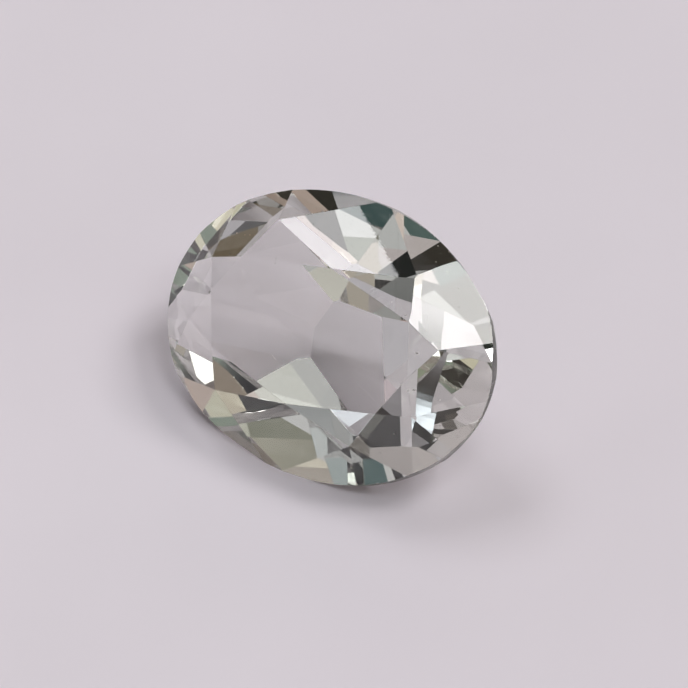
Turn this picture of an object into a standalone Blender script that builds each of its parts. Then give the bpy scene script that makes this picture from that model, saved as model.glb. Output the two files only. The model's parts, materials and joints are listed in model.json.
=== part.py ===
"""Loose oval tourmaline with a brilliant-cut crown and a shallow, uneven pavilion.

The stone is one solid.  It is cut the way a lapidary cuts it: an oval blank
is ground facet by facet, first the table, the stars, the mains and the
upper-girdle facets of the crown, then the broad facets of the pavilion.  It
is cut with its table level, and then laid down on one large pavilion facet,
the way a loose stone lies on a bench.

Lengths below are in millimetres and are turned into metres when used.
Angles are in degrees, counter-clockwise seen from above the table, from the
end of the oval's long axis.  Heights are measured from the upper edge of the
girdle.
"""

from math import cos, hypot, radians, sin

import bmesh
import bpy
from mathutils import Matrix, Vector
from mathutils.geometry import normal as plane_normal

MM = 0.001

# ---------------------------------------------------------------- the blank
LENGTH = 9.00            # long axis of the girdle
WIDTH = 7.10             # short axis of the girdle
GIRDLE = 0.27            # height of the girdle band between crown and pavilion
BLANK_SEGMENTS = 144     # flats around the ground girdle
BLANK_TOP = 2.0
BLANK_BOTTOM = -4.6

# ---------------------------------------------------------------- the crown
TABLE_HEIGHT = 1.35
# The table is an octagon: two corners on each axis and four at the shoulders.
TABLE_HALF_LENGTH = 2.87
TABLE_HALF_WIDTH = 1.77
TABLE_SHOULDER = (2.38, 1.19)
# How far hand cutting has left each corner from its true place, x and y.
TABLE_SLIPS = (
    (0.00, -0.07), (0.00, 0.03), (-0.05, -0.06), (-0.04, -0.06),
    (0.01, 0.07), (0.07, -0.03), (0.07, -0.06), (0.02, -0.01),
)
# The outer tips of the star facets: x, y and height, near the ends and near
# the sides, and how far each one has slipped.
STAR_END_TIP = (3.27, 0.86, 1.00)
STAR_SIDE_TIP = (1.98, 2.25, 0.99)
STAR_SLIPS = (
    (-0.01, -0.03, 0.05), (0.06, 0.00, -0.08), (-0.01, 0.05, -0.04), (-0.03, -0.05, -0.01),
    (-0.06, 0.01, -0.07), (0.03, 0.03, 0.06), (-0.04, 0.03, 0.04), (-0.07, -0.10, 0.01),
)
# Where each main facet runs out on the girdle: from one angle to the next.
MAIN_REACH = (
    (0.5, 17.5), (38.0, 49.0), (85.5, 91.0), (137.5, 142.5),
    (177.0, 186.0), (213.5, 221.0), (265.0, 271.0), (316.5, 319.0),
)
# Where each pair of upper-girdle facets meets on the girdle.
GIRDLE_MEETS = (23.5, 58.0, 121.0, 161.0, 199.0, 236.5, 297.5, 336.0)

# ------------------------------------------------------------- the pavilion
# Each facet: the direction it faces, its slope from the girdle plane, and its
# reach, as a share of the oval outline in that direction.  At 1.00 the facet
# just touches the girdle; below that it bites into it, above that it stays
# inside the stone.
PAVILION = (
    # the two long sides, each ground as a pair of facets
    ("sides", (
        (61, 36.0, 0.93), (101, 39.0, 1.01), (243, 38.0, 1.02), (265.5, 42.0, 0.91),
    )),
    # the two ends: one left shallow and one cut steep
    ("ends", ((2, 25.0, 1.00), (162, 50.5, 0.97))),
    # narrow facets over the shoulders of the shallow end
    ("shoulders", ((26, 33.5, 0.99), (314, 36.0, 1.01), (342, 31.0, 1.00))),
    # three shallow facets that meet in a blunt keel, with no culet
    ("keel", ((154, 28.5, 1.15), (210, 26.5, 1.25), (356, 21.0, 1.15))),
)

# --------------------------------------------------------------- lying down
RESTING_FACET = ("sides", 3)
REST_SPIN = -29.7         # turn about the vertical after laying down

# ----------------------------------------------------------------- material
STONE_COLOUR = (0.80, 0.82, 0.78, 1.0)
STONE_ROUGHNESS = 0.02
STONE_IOR = 1.63


def on_oval(angle):
    """Point of the girdle outline at an angle of the oval."""
    a = radians(angle)
    return LENGTH / 2 * cos(a), WIDTH / 2 * sin(a)


def plane_through(p, q, r):
    """Upward plane through three points, as (point, normal)."""
    n = plane_normal(Vector(p), Vector(q), Vector(r))
    if n.z < 0:
        n.negate()
    return Vector(p), n


def height_on(plane, x, y):
    """Height of a plane above a point of the girdle plane."""
    p, n = plane
    return p.z - (n.x * (x - p.x) + n.y * (y - p.y)) / n.z


def pavilion_plane(facing, slope, share):
    """Downward plane from its direction, its slope and its share of the outline."""
    a, s = radians(facing), radians(slope)
    reach = share * hypot(LENGTH / 2 * cos(a), WIDTH / 2 * sin(a))
    point = Vector((reach * cos(a), reach * sin(a), -GIRDLE))
    return point, Vector((sin(s) * cos(a), sin(s) * sin(a), -cos(s)))


def grind(bm, point, normal):
    """Grind one flat facet: cut the solid and close the cut."""
    geom = bm.verts[:] + bm.edges[:] + bm.faces[:]
    cut = bmesh.ops.bisect_plane(
        bm, geom=geom, dist=1e-9, plane_co=point * MM, plane_no=normal, clear_outer=True
    )
    edges = [e for e in cut["geom_cut"] if isinstance(e, bmesh.types.BMEdge)]
    edges = [e for e in edges if e.is_boundary]
    if edges:
        bmesh.ops.edgeloop_fill(bm, edges=edges)


def octant_signs(k, first, second):
    """Signs of x and y in one of the eight turns around the stone."""
    x = 1 if k in first else -1
    y = 1 if k in second else -1
    return x, y


def table_corners():
    """The eight corners of the table, true octagon plus slips."""
    corners = []
    for k, (dx, dy) in enumerate(TABLE_SLIPS):
        if k % 4 == 0:
            x, y = (TABLE_HALF_LENGTH if k == 0 else -TABLE_HALF_LENGTH), 0.0
        elif k % 4 == 2:
            x, y = 0.0, (TABLE_HALF_WIDTH if k == 2 else -TABLE_HALF_WIDTH)
        else:
            sx, sy = octant_signs(k, (1, 7), (1, 3))
            x, y = sx * TABLE_SHOULDER[0], sy * TABLE_SHOULDER[1]
        corners.append(Vector((x + dx, y + dy, TABLE_HEIGHT)))
    return corners


def star_tips():
    """The eight outer tips of the stars, one between each two mains."""
    tips = []
    for k, slip in enumerate(STAR_SLIPS):
        sx, sy = octant_signs(k, (0, 1, 6, 7), (0, 1, 2, 3))
        x, y, z = STAR_END_TIP if k in (0, 3, 4, 7) else STAR_SIDE_TIP
        tips.append(Vector((sx * x, sy * y, z)) + Vector(slip))
    return tips


def crown_planes():
    """Table, stars, mains and upper-girdle facets."""
    corners = table_corners()
    tips = star_tips()
    planes = [(corners[0], Vector((0, 0, 1)))]
    mains = []
    for k in range(8):
        mains.append(plane_through(corners[k], tips[k - 1], tips[k]))
        planes.append(mains[k])
    for k in range(8):
        nxt = (k + 1) % 8
        planes.append(plane_through(corners[k], corners[nxt], tips[k]))
        meet = on_oval(GIRDLE_MEETS[k]) + (0.0,)
        for main, reach in ((k, MAIN_REACH[k][1]), (nxt, MAIN_REACH[nxt][0])):
            x, y = on_oval(reach)
            edge = (x, y, height_on(mains[main], x, y))
            planes.append(plane_through(tips[k], edge, meet))
    return planes


def make_material():
    mat = bpy.data.materials.new("stone")
    mat.use_nodes = True
    shader = mat.node_tree.nodes["Principled BSDF"]
    shader.inputs["Base Color"].default_value = STONE_COLOUR
    shader.inputs["Roughness"].default_value = STONE_ROUGHNESS
    shader.inputs["Metallic"].default_value = 0.0
    shader.inputs["IOR"].default_value = STONE_IOR
    shader.inputs["Transmission Weight"].default_value = 1.0
    return mat


def main():
    for old in list(bpy.data.objects):
        bpy.data.objects.remove(old, do_unlink=True)
    parts = bpy.data.collections.new("faceted_tourmaline")
    bpy.context.scene.collection.children.link(parts)

    # the oval blank
    bm = bmesh.new()
    depth = BLANK_TOP - BLANK_BOTTOM
    bmesh.ops.create_cone(
        bm, cap_ends=True, segments=BLANK_SEGMENTS, radius1=1.0, radius2=1.0, depth=depth * MM,
        matrix=Matrix.Translation((0, 0, (BLANK_TOP + BLANK_BOTTOM) / 2 * MM)),
    )
    bmesh.ops.scale(bm, vec=(LENGTH / 2 * MM, WIDTH / 2 * MM, 1.0), verts=bm.verts)

    # crown, then pavilion
    for point, normal in crown_planes():
        grind(bm, point, normal)
    resting = None
    for tier, facets in PAVILION:
        for k, facet in enumerate(facets):
            point, normal = pavilion_plane(*facet)
            grind(bm, point, normal)
            if (tier, k) == RESTING_FACET:
                resting = normal
    bmesh.ops.remove_doubles(bm, verts=bm.verts, dist=2e-6)
    bmesh.ops.recalc_face_normals(bm, faces=bm.faces)

    mesh = bpy.data.meshes.new("tourmaline")
    bm.to_mesh(mesh)
    bm.free()
    mesh.materials.append(make_material())
    stone = bpy.data.objects.new("tourmaline", mesh)
    parts.objects.link(stone)

    # lay it on its resting facet, turn it, and stand that facet on z = 0
    lay = resting.rotation_difference(Vector((0, 0, -1))).to_matrix()
    turn = Matrix.Rotation(radians(REST_SPIN), 3, "Z") @ lay
    placed = [turn @ v.co for v in mesh.vertices]
    low = Vector([min(p[i] for p in placed) for i in range(3)])
    high = Vector([max(p[i] for p in placed) for i in range(3)])
    stone.rotation_mode = "QUATERNION"
    stone.rotation_quaternion = turn.to_quaternion()
    stone.location = (-(low.x + high.x) / 2, -(low.y + high.y) / 2, -low.z)


main()
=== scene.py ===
import json
import math
import random

import bmesh
import bpy
from mathutils import Matrix, Vector, noise
from mathutils.bvhtree import BVHTree


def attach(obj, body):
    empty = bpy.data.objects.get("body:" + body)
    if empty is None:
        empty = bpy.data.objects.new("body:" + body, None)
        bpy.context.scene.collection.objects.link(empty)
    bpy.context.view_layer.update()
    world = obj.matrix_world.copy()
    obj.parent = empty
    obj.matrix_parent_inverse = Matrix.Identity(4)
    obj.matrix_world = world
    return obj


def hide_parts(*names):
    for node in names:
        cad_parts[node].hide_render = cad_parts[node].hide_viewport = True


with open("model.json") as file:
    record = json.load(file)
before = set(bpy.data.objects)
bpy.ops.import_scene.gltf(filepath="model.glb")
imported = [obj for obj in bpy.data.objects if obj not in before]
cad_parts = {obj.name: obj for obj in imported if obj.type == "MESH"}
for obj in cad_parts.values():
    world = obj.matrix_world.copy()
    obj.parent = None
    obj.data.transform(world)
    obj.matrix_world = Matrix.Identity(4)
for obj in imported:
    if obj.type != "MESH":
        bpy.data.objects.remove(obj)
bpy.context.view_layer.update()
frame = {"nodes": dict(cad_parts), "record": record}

MM = 0.001

# ------------------------------------------------------------------ the view
# The camera looks along +Y and down by this many degrees, through a long lens.
ELEVATION = 49.8
DISTANCE = 0.22
PICTURE = 688                     # pixels a side
SCALE = 40.24                     # pixels to a millimetre at the stone
STONE_AT = (329.23, 336.97)       # pixel of the middle of the girdle

TABLE_MOUNT = next(m for m in frame["record"]["mounts"] if m["name"] == "table")
TABLE_AXIS = Vector(TABLE_MOUNT["axis"]).normalized()
GIRDLE_MIDDLE = Vector((-0.000047, -0.0001836, 0.0023663))

# ------------------------------------------------------------------- colours
FLOOR_COLOUR = (0.82, 0.765, 0.84, 1.0)
STONE_TINT = (0.61, 0.62, 0.55, 1.0)
STONE_DEPTH = 60.0                # how strongly the tint builds up with thickness

BOX_DISTANCE = 3.0                # from the stone to each soft box

# ------------------------------------------------------------------ the wear
# Nicks on facet edges: pixel in the picture, then width across and length, mm.
NICKS = (
    ((210, 293), 0.07, 0.09), ((285, 404), 0.04, 0.05), ((298, 414), 0.03, 0.04),
    ((372, 416), 0.04, 0.05), ((394, 434), 0.04, 0.04), ((377, 483), 0.05, 0.14),
    ((476, 418), 0.04, 0.05), ((459, 307), 0.03, 0.04), ((331, 269), 0.025, 0.03),
    ((418, 281), 0.025, 0.04),
)
# Specks of dust lying on the crown: pixel and size, mm, and a shade.
SPECKS = (
    ((438, 246), 0.022, 0), ((449, 252), 0.020, 0), ((436, 262), 0.018, 0),
    ((458, 271), 0.018, 0), ((449, 273), 0.015, 0), ((237, 233), 0.020, 1),
    ((245, 235), 0.016, 1), ((250, 235), 0.014, 1), ((255, 235), 0.013, 1),
    ((300, 305), 0.012, 0), ((356, 344), 0.011, 0), ((268, 372), 0.012, 1),
    ((392, 302), 0.012, 0), ((325, 450), 0.014, 0), ((230, 318), 0.012, 0),
    ((402, 210), 0.012, 1), ((440, 400), 0.013, 0), ((300, 232), 0.012, 0),
)

# Pinpoint crystals sealed in the stone: pixel, depth below the facet and size, mm.
PINPOINTS = (
    ((447, 262), 0.5, 0.030), ((462, 285), 0.4, 0.026), ((418, 352), 0.9, 0.028),
    ((398, 318), 0.6, 0.034), ((268, 262), 0.8, 0.024), ((352, 416), 0.8, 0.028),
    ((408, 398), 1.1, 0.030),
)


def node(tree, kind, inputs=None, **settings):
    n = tree.nodes.new(kind)
    for key, value in settings.items():
        setattr(n, key, value)
    for key, value in (inputs or {}).items():
        n.inputs[key].default_value = value
    return n


def new_material(name):
    mat = bpy.data.materials.new(name)
    mat.use_nodes = True
    return mat, mat.node_tree, mat.node_tree.nodes["Principled BSDF"]


def noise_on(t, scale, detail=3.0, roughness=0.5, stretch=None):
    """Noise in the object's own coordinates, optionally stretched."""
    coords = node(t, "ShaderNodeTexCoord")
    grain = node(t, "ShaderNodeTexNoise", {"Scale": scale, "Detail": detail, "Roughness": roughness})
    source = coords.outputs["Object"]
    if stretch:
        turn = node(t, "ShaderNodeMapping", {"Rotation": stretch[0], "Scale": stretch[1]})
        t.links.new(source, turn.inputs["Vector"])
        source = turn.outputs["Vector"]
    t.links.new(source, grain.inputs["Vector"])
    return grain.outputs["Fac"]


def spread(t, source, low, high, start=0.35, end=0.65):
    ranged = node(t, "ShaderNodeMapRange", {"From Min": start, "From Max": end, "To Min": low, "To Max": high})
    t.links.new(source, ranged.inputs["Value"])
    return ranged.outputs["Result"]


def floor_material():
    """Smooth pale lilac card with the faintest grain and cloudiness."""
    mat, t, shader = new_material("floor_card")
    shader.inputs["IOR"].default_value = 1.42
    cloud = noise_on(t, 90.0, 2.0)
    mix = node(t, "ShaderNodeMix", data_type="RGBA")
    mix.inputs[6].default_value = FLOOR_COLOUR
    mix.inputs[7].default_value = tuple(c * 0.965 for c in FLOOR_COLOUR[:3]) + (1.0,)
    t.links.new(spread(t, cloud, 0.0, 1.0), mix.inputs[0])
    t.links.new(mix.outputs[2], shader.inputs["Base Color"])
    t.links.new(spread(t, cloud, 0.42, 0.5), shader.inputs["Roughness"])
    bump = node(t, "ShaderNodeBump", {"Strength": 0.04, "Distance": 0.00002})
    t.links.new(noise_on(t, 2600.0), bump.inputs["Height"])
    t.links.new(bump.outputs["Normal"], shader.inputs["Normal"])
    return mat


def crystal(name, tint_scale, low, high, relief, pattern):
    """See-through stone: pale, with a tint that deepens with thickness."""
    mat, t, shader = new_material(name)
    shader.inputs["Base Color"].default_value = (1.0, 1.0, 1.0, 1.0)
    shader.inputs["IOR"].default_value = 1.63
    shader.inputs["Transmission Weight"].default_value = 1.0
    t.links.new(spread(t, noise_on(t, tint_scale, 2.0), low, high), shader.inputs["Roughness"])
    bump = node(t, "ShaderNodeBump", {"Strength": 1.0, "Distance": relief})
    t.links.new(pattern(t), bump.inputs["Height"])
    t.links.new(bump.outputs["Normal"], shader.inputs["Normal"])
    volume = node(t, "ShaderNodeVolumeAbsorption", {"Color": STONE_TINT, "Density": STONE_DEPTH})
    t.links.new(volume.outputs["Volume"], t.nodes["Material Output"].inputs["Volume"])
    return mat


def polish_lines(t):
    return noise_on(t, 900.0, 2.0, 0.4, ((0.2, 0.5, 0.9), (1.0, 14.0, 3.0)))


def ground_grain(t):
    return noise_on(t, 9000.0, 4.0, 0.6)


def dust_material():
    mat, t, shader = new_material("dust_specks")
    mix = node(t, "ShaderNodeMix", data_type="RGBA")
    mix.inputs[6].default_value = (0.62, 0.58, 0.52, 1.0)
    mix.inputs[7].default_value = (0.20, 0.10, 0.08, 1.0)
    shade = node(t, "ShaderNodeAttribute", attribute_name="shade")
    t.links.new(shade.outputs["Fac"], mix.inputs[0])
    t.links.new(mix.outputs[2], shader.inputs["Base Color"])
    t.links.new(spread(t, noise_on(t, 20000.0), 0.6, 0.9), shader.inputs["Roughness"])
    return mat


def pinpoint_material():
    """Tiny cloudy crystals, a little paler than the stone around them."""
    mat, t, shader = new_material("pinpoints")
    shader.inputs["Base Color"].default_value = (0.72, 0.74, 0.70, 1.0)
    shader.inputs["IOR"].default_value = 1.45
    shader.inputs["Transmission Weight"].default_value = 0.4
    t.links.new(spread(t, noise_on(t, 30000.0), 0.25, 0.6), shader.inputs["Roughness"])
    return mat


# -------------------------------------------------------------- the camera
e = math.radians(ELEVATION)
back = Vector((0.0, -math.cos(e), math.sin(e)))
right = Vector((1.0, 0.0, 0.0))
up = back.cross(right)


def shift(u, v):
    """From the picture's middle to a pixel, on the plane through the stone."""
    return right * ((u - PICTURE / 2) / SCALE * MM) - up * ((v - PICTURE / 2) / SCALE * MM)


aim = GIRDLE_MIDDLE - shift(*STONE_AT)
eye = aim + back * DISTANCE
camera = bpy.data.objects.new("camera", bpy.data.cameras.new("camera"))
bpy.context.scene.collection.objects.link(camera)
camera.data.sensor_width = 36.0
camera.data.lens = 36.0 * DISTANCE / (PICTURE / SCALE * MM)
camera.data.clip_start, camera.data.clip_end = 0.01, 5.0
camera.location = eye
camera.rotation_mode = "QUATERNION"
camera.rotation_quaternion = back.to_track_quat("Z", "Y")
bpy.context.scene.camera = camera


# --------------------------------------------------------------- the stone
def on_stone(tree, pixel):
    """Where the line of sight through a pixel meets the stone, and the facet's normal."""
    way = (aim + shift(*pixel) - eye).normalized()
    place, normal, _, _ = tree.ray_cast(eye, way)
    return place, normal


def nearest_edge(mesh_edges, place, reach):
    """Closest point to place on the facet edges, with the edge's direction."""
    best = None
    for a, b in mesh_edges:
        t = max(0.0, min(1.0, (place - a).dot(b - a) / (b - a).length_squared))
        p = a + (b - a) * t
        if best is None or (p - place).length < (best[0] - place).length:
            best = (p, (b - a).normalized())
    if best and (best[0] - place).length <= reach:
        return best
    return place, None


def lump(bm, centre, radii, axes, seed, rough, mark=None):
    """A rough little lump: a ball pushed in and out by noise."""
    made = bmesh.ops.create_icosphere(bm, subdivisions=2, radius=1.0)["verts"]
    turn = Matrix(axes).transposed()
    for v in made:
        push = 1.0 + rough * noise.noise(v.co * 1.7 + Vector((seed * 3.1, seed, -seed)))
        v.co = centre + turn @ Vector([v.co[i] * radii[i] * push for i in range(3)])
    if mark is not None:
        for v in made:
            v[mark[0]] = mark[1]
    return made


def frame_along(direction, normal):
    x = (direction - normal * direction.dot(normal)).normalized()
    return x, normal.cross(x).normalized(), normal


def build_stone():
    cad = frame["nodes"]["tourmaline"]
    mesh = cad.data.copy()
    mesh.name = "tourmaline_cut"
    mesh.materials.clear()
    bm = bmesh.new()
    bm.from_mesh(mesh)
    bmesh.ops.remove_doubles(bm, verts=bm.verts, dist=1e-7)
    bmesh.ops.dissolve_limit(
        bm, angle_limit=math.radians(0.15), verts=bm.verts, edges=bm.edges,
        use_dissolve_boundaries=False,
    )
    for f in bm.faces:
        f.smooth = False
        f.material_index = 1 if abs(f.normal.dot(TABLE_AXIS)) < 0.02 else 0
    tree = BVHTree.FromBMesh(bm)
    edges = [
        (ed.verts[0].co.copy(), ed.verts[1].co.copy()) for ed in bm.edges
        if ed.calc_length() > 0.25 * MM
    ]

    # the finest wear along the long facet edges
    worn = [
        ed for ed in bm.edges
        if ed.calc_length() > 0.30 * MM and not any(f.material_index for f in ed.link_faces)
    ]
    bmesh.ops.bevel(
        bm, geom=worn, offset=0.005 * MM, segments=1, affect="EDGES", clamp_overlap=True,
    )
    bm.to_mesh(mesh)
    bm.free()
    for mat in (
        crystal("tourmaline_polished", 700.0, 0.0, 0.006, 0.00000004, polish_lines),
        crystal("tourmaline_girdle", 900.0, 0.18, 0.30, 0.0000015, ground_grain),
        crystal("tourmaline_nick", 5000.0, 0.25, 0.45, 0.000004, ground_grain),
    ):
        mesh.materials.append(mat)
    stone = bpy.data.objects.new("tourmaline_cut", mesh)
    bpy.context.scene.collection.objects.link(stone)

    # nicks: small lumps taken out of the edges
    cutter = bmesh.new()
    for k, (pixel, across, length) in enumerate(NICKS):
        place, normal = on_stone(tree, pixel)
        if place is None:
            continue
        place, along = nearest_edge(edges, place, 0.16 * MM)
        along = along or right
        axes = frame_along(along, normal)
        lump(
            cutter, place + normal * across * 0.35 * MM,
            (length * 0.6 * MM, across * 0.6 * MM, across * 0.6 * MM), axes, k + 1, 0.5,
        )
    cut_mesh = bpy.data.meshes.new("nick_cutter")
    cutter.to_mesh(cut_mesh)
    cutter.free()
    for mat in mesh.materials:
        cut_mesh.materials.append(mat)
    for p in cut_mesh.polygons:
        p.material_index = 2
    cut = bpy.data.objects.new("nick_cutter", cut_mesh)
    bpy.context.scene.collection.objects.link(cut)
    take = stone.modifiers.new("nicks", "BOOLEAN")
    take.operation, take.solver, take.object = "DIFFERENCE", "EXACT", cut
    take.use_self = True
    bpy.context.view_layer.update()
    cleaned = bpy.data.meshes.new_from_object(stone.evaluated_get(bpy.context.evaluated_depsgraph_get()))
    stone.modifiers.clear()
    stone.data = cleaned
    cleaned.name = "tourmaline_cut"
    bpy.data.objects.remove(cut, do_unlink=True)
    check = bmesh.new()
    check.from_mesh(cleaned)
    print("stone faces", len(check.faces), "open edges", sum(1 for x in check.edges if not x.is_manifold))
    check.free()
    return stone, tree


def build_dust(tree):
    """Grains lying on the crown."""
    rng = random.Random(11)
    bm = bmesh.new()
    shade = bm.verts.layers.float.new("shade")
    for k, (pixel, size, tone) in enumerate(SPECKS):
        place, normal = on_stone(tree, pixel)
        if place is None:
            continue
        axes = frame_along(Vector((rng.uniform(-1, 1), rng.uniform(-1, 1), 0.3)), normal)
        half = size * 0.5 * MM
        lump(
            bm, place + normal * half * 0.45,
            (half * rng.uniform(1.0, 1.6), half, half * 0.6), axes, k + 40, 0.7, (shade, float(tone)),
        )
    mesh = bpy.data.meshes.new("dust")
    bm.to_mesh(mesh)
    bm.free()
    mesh.materials.append(dust_material())
    dust = bpy.data.objects.new("dust", mesh)
    bpy.context.scene.collection.objects.link(dust)
    return dust


def build_pinpoints(tree):
    """The few pinpoint crystals inside the stone."""
    rng = random.Random(5)
    bm = bmesh.new()
    for k, (pixel, depth, size) in enumerate(PINPOINTS):
        place, normal = on_stone(tree, pixel)
        if place is None:
            continue
        axes = frame_along(Vector((rng.uniform(-1, 1), rng.uniform(-1, 1), 0.3)), normal)
        half = size * 0.5 * MM
        lump(
            bm, place - normal * depth * MM,
            (half * rng.uniform(1.0, 2.2), half, half * 0.8), axes, k + 80, 0.5,
        )
    mesh = bpy.data.meshes.new("pinpoints")
    bm.to_mesh(mesh)
    bm.free()
    mesh.materials.append(pinpoint_material())
    pinpoints = bpy.data.objects.new("pinpoints", mesh)
    bpy.context.scene.collection.objects.link(pinpoints)
    return pinpoints


def soft_box(name, azimuth, elevation, half, brightness, colour):
    """Soft box seen from the stone: azimuth 0 is +X, 90 is away from the camera.
    Its half width and half height are in degrees, and its brightness is that of its face."""
    a, h = math.radians(azimuth), math.radians(elevation)
    data = bpy.data.lights.new(name, "AREA")
    data.shape = "RECTANGLE"
    data.size, data.size_y = (2 * BOX_DISTANCE * math.tan(math.radians(x)) for x in half)
    data.energy = brightness * math.pi * data.size * data.size_y
    data.color = colour
    light = bpy.data.objects.new(name, data)
    way = Vector((math.cos(a) * math.cos(h), math.sin(a) * math.cos(h), math.sin(h)))
    side = Vector((-math.sin(a), math.cos(a), 0.0))
    light.matrix_world = Matrix.Translation(way * BOX_DISTANCE) @ Matrix((side, way.cross(side), way)).transposed().to_4x4()
    bpy.context.scene.collection.objects.link(light)
    return light


stone, stone_tree = build_stone()
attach(stone, "root")
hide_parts("tourmaline")
dust = build_dust(stone_tree)
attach(dust, "root")
pinpoints = build_pinpoints(stone_tree)
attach(pinpoints, "root")

# --------------------------------------------------------------- the floor
bpy.ops.mesh.primitive_plane_add(size=1.2, location=(0, 0, -0.00001))
floor = bpy.context.object
floor.name = "floor"
floor.data.materials.append(floor_material())

# ---------------------------------------------------------------- the light
soft_box("right_box", 20, 55, (9, 9), 9.5, (1.0, 0.99, 0.97))
soft_box("back_box", 120, 50, (10, 9), 6.0, (0.99, 0.99, 1.0))
soft_box("overhead", 320, 70, (10, 15), 3.6, (0.99, 1.0, 1.0))

# The room: a dark grey shell, pale near the floor, with soft cards and windows.
# Each card: azimuth, elevation, half width and half height in degrees, colour.
ROOM = (0.018, 0.019, 0.018)
HORIZON = (0.56, 0.53, 0.57)
CARDS = (
    # on the camera's side, low: warm and lilac cards that fill the crown
    (290, 15, 15, 20, (0.45, 0.35, 0.30)),
    (260, 20, 10, 10, (0.60, 0.50, 0.50)),
    (275, 25, 5, 10, (0.30, 0.35, 0.25)),
    (245, 20, 10, 5, (0.50, 0.40, 0.40)),
    (245, 30, 10, 20, (0.20, 0.20, 0.15)),
    (225, 20, 10, 20, (0.45, 0.40, 0.35)),
    (230, 5, 10, 5, (0.15, 0.25, 0.35)),
    # on the camera's side, high: a lilac card and a dark green one
    (230, 55, 15, 10, (0.50, 0.45, 0.45)),
    (240, 65, 10, 20, (0.05, 0.10, 0.10)),
    # left, behind and right: grey cards that show in the far facets
    (185, 20, 10, 15, (0.35, 0.40, 0.40)),
    (160, 40, 20, 10, (0.35, 0.35, 0.35)),
    (50, 35, 30, 25, (0.20, 0.15, 0.10)),
    (55, 10, 5, 30, (0.85, 0.60, 0.65)),
    (340, 35, 10, 20, (0.20, 0.25, 0.20)),
    # narrow gaps between the screens, where the lamps glint through
    (310, 30, 10, 5, (1.45, 1.50, 1.45)),
    (115, 15, 5, 5, (2.00, 2.00, 1.75)),
    (195, 25, 5, 5, (1.90, 1.90, 1.75)),
    (150, 20, 5, 5, (1.70, 1.85, 2.00)),
    (80, 30, 5, 5, (1.90, 1.75, 1.60)),
    (335, 55, 5, 5, (1.70, 1.90, 1.85)),
)


def card_mask(t, view, azimuth, elevation, half_width, half_height, soft=0.18):
    a, h = math.radians(azimuth), math.radians(elevation)
    centre = Vector((math.cos(a) * math.cos(h), math.sin(a) * math.cos(h), math.sin(h)))
    side = Vector((-math.sin(a), math.cos(a), 0.0))
    over = centre.cross(side)

    def dot(axis):
        n = node(t, "ShaderNodeVectorMath", operation="DOT_PRODUCT")
        n.inputs[1].default_value = axis
        t.links.new(view, n.inputs[0])
        return n.outputs["Value"]

    def math_node(operation, one, two):
        n = node(t, "ShaderNodeMath", operation=operation)
        for slot, value in enumerate((one, two)):
            if isinstance(value, float):
                n.inputs[slot].default_value = value
            elif value is not None:
                t.links.new(value, n.inputs[slot])
        return n.outputs["Value"]

    ahead = dot(centre)
    near = math_node("MAXIMUM", ahead, 0.02)
    mask = math_node("GREATER_THAN", ahead, 0.05)
    for axis, half in ((side, half_width), (over, half_height)):
        across = math_node("ABSOLUTE", math_node("DIVIDE", dot(axis), near), None)
        edge = math.tan(math.radians(half))
        ramp = node(t, "ShaderNodeMapRange", interpolation_type="SMOOTHSTEP")
        ramp.inputs["From Min"].default_value = edge * (1 + soft)
        ramp.inputs["From Max"].default_value = edge * (1 - soft)
        t.links.new(across, ramp.inputs["Value"])
        mask = math_node("MULTIPLY", mask, ramp.outputs["Result"])
    return mask


world = bpy.data.worlds.new("room")
bpy.context.scene.world = world
world.use_nodes = True
wt = world.node_tree
view = node(wt, "ShaderNodeTexCoord").outputs["Generated"]
split = node(wt, "ShaderNodeSeparateXYZ")
wt.links.new(view, split.inputs["Vector"])
height = node(wt, "ShaderNodeMapRange", interpolation_type="SMOOTHSTEP")
height.inputs["From Min"].default_value = 0.02
height.inputs["From Max"].default_value = 0.16
wt.links.new(split.outputs["Z"], height.inputs["Value"])
shell = node(wt, "ShaderNodeMix", data_type="RGBA")
shell.inputs[6].default_value = HORIZON + (1.0,)
shell.inputs[7].default_value = ROOM + (1.0,)
wt.links.new(height.outputs["Result"], shell.inputs[0])
colour = shell.outputs[2]
for azimuth, elevation, half_width, half_height, tint in CARDS:
    add = node(wt, "ShaderNodeMix", data_type="RGBA", blend_type="ADD")
    add.inputs[7].default_value = tint + (1.0,)
    wt.links.new(card_mask(wt, view, azimuth, elevation, half_width, half_height), add.inputs[0])
    wt.links.new(colour, add.inputs[6])
    colour = add.outputs[2]
wt.links.new(colour, wt.nodes["Background"].inputs["Color"])
wt.nodes["Background"].inputs["Strength"].default_value = 1.0

# --------------------------------------------------------- how light travels
scene = bpy.context.scene
scene.view_settings.view_transform = "Standard"
scene.cycles.max_bounces = 28
scene.cycles.transmission_bounces = 24
scene.cycles.glossy_bounces = 24
scene.cycles.diffuse_bounces = 4
scene.cycles.transparent_max_bounces = 24
scene.cycles.caustics_refractive = True
scene.cycles.caustics_reflective = True
scene.cycles.sample_clamp_indirect = 12.0
scene.cycles.blur_glossy = 0.5
scene.cycles.use_denoising = True
